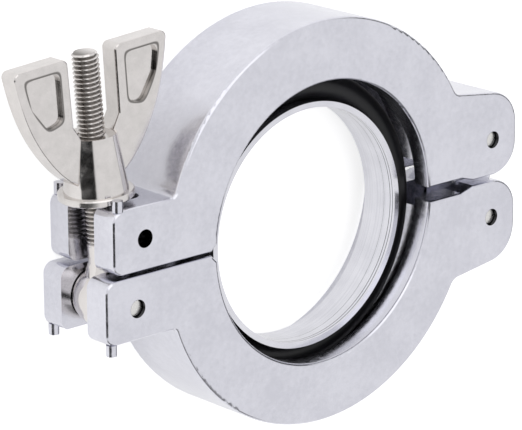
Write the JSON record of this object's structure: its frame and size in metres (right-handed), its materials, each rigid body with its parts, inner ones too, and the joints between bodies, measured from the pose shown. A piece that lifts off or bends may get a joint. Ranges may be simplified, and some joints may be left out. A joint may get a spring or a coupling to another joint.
{
  "type": "kf flange clamp",
  "caption": "Hinged vacuum flange clamp with V-groove halves, swing bolt with wing nut, and centering ring with O-ring.",
  "frame": {"origin": "centre of the clamp's groove, on the bore axis at the mid-plane of the clamp", "axes": "+Z along the bore axis, up from the face it lies on; +X from the bolt fork towards the hinge; +Y towards the half that carries the nut seat"},
  "size_m": [0.1435, 0.0974, 0.0226],
  "materials": {
    "casting": "satin polished",
    "steel": "polished",
    "pin_steel": "ground",
    "ring_metal": "fine turned",
    "seal_rubber": "matte with slight sheen"
  },
  "bodies": {
    "lower_clamp": {"lower_half": "casting", "lower_hinge_pin": "pin_steel", "bolt_pivot_pin": "pin_steel", "centering_ring": "ring_metal", "o_ring": "seal_rubber"},
    "link": {"hinge_link": "casting"},
    "upper_clamp": {"upper_half": "casting", "upper_hinge_pin": "pin_steel"},
    "bolt": {"swing_bolt": "steel"},
    "bolt_washer": {"washer": "steel"},
    "nut": {"wing_nut": "steel"}
  },
  "joints": [
    {"name": "link_pivot", "type": "hinge", "parent": "lower_clamp", "child": "link", "pos_m": [0.0539, -0.0096, 0], "axis": [0, 0, 1], "range_deg": [-2.5, 0]},
    {"name": "upper_pivot", "type": "hinge", "parent": "link", "child": "upper_clamp", "pos_m": [0.0539, 0.0096, 0], "axis": [0, 0, 1], "range_deg": [-2.5, 0]},
    {"name": "bolt_swing", "type": "hinge", "parent": "lower_clamp", "child": "bolt", "pos_m": [-0.0563, -0.0077, 0], "axis": [0, 0, 1], "range_deg": [-4.5, 145.5]},
    {"name": "nut_travel", "type": "slide", "parent": "bolt", "child": "bolt_washer", "axis": [-0.0785, 0.9969, 0], "range_m": [0, 0.012]},
    {"name": "nut_spin", "type": "hinge", "parent": "bolt_washer", "child": "nut", "pos_m": [-0.0563, -0.0077, 0], "axis": [-0.0785, 0.9969, 0], "range_deg": [0, 4320]}
  ],
  "couplings": [
    {"joint": "nut_spin", "follows": "nut_travel", "rad_per_m": 6283.2},
    {"joint": "link_pivot", "follows": "nut_travel", "rad_per_m": -3.6361},
    {"joint": "upper_pivot", "follows": "nut_travel", "rad_per_m": -3.6361}
  ]
}
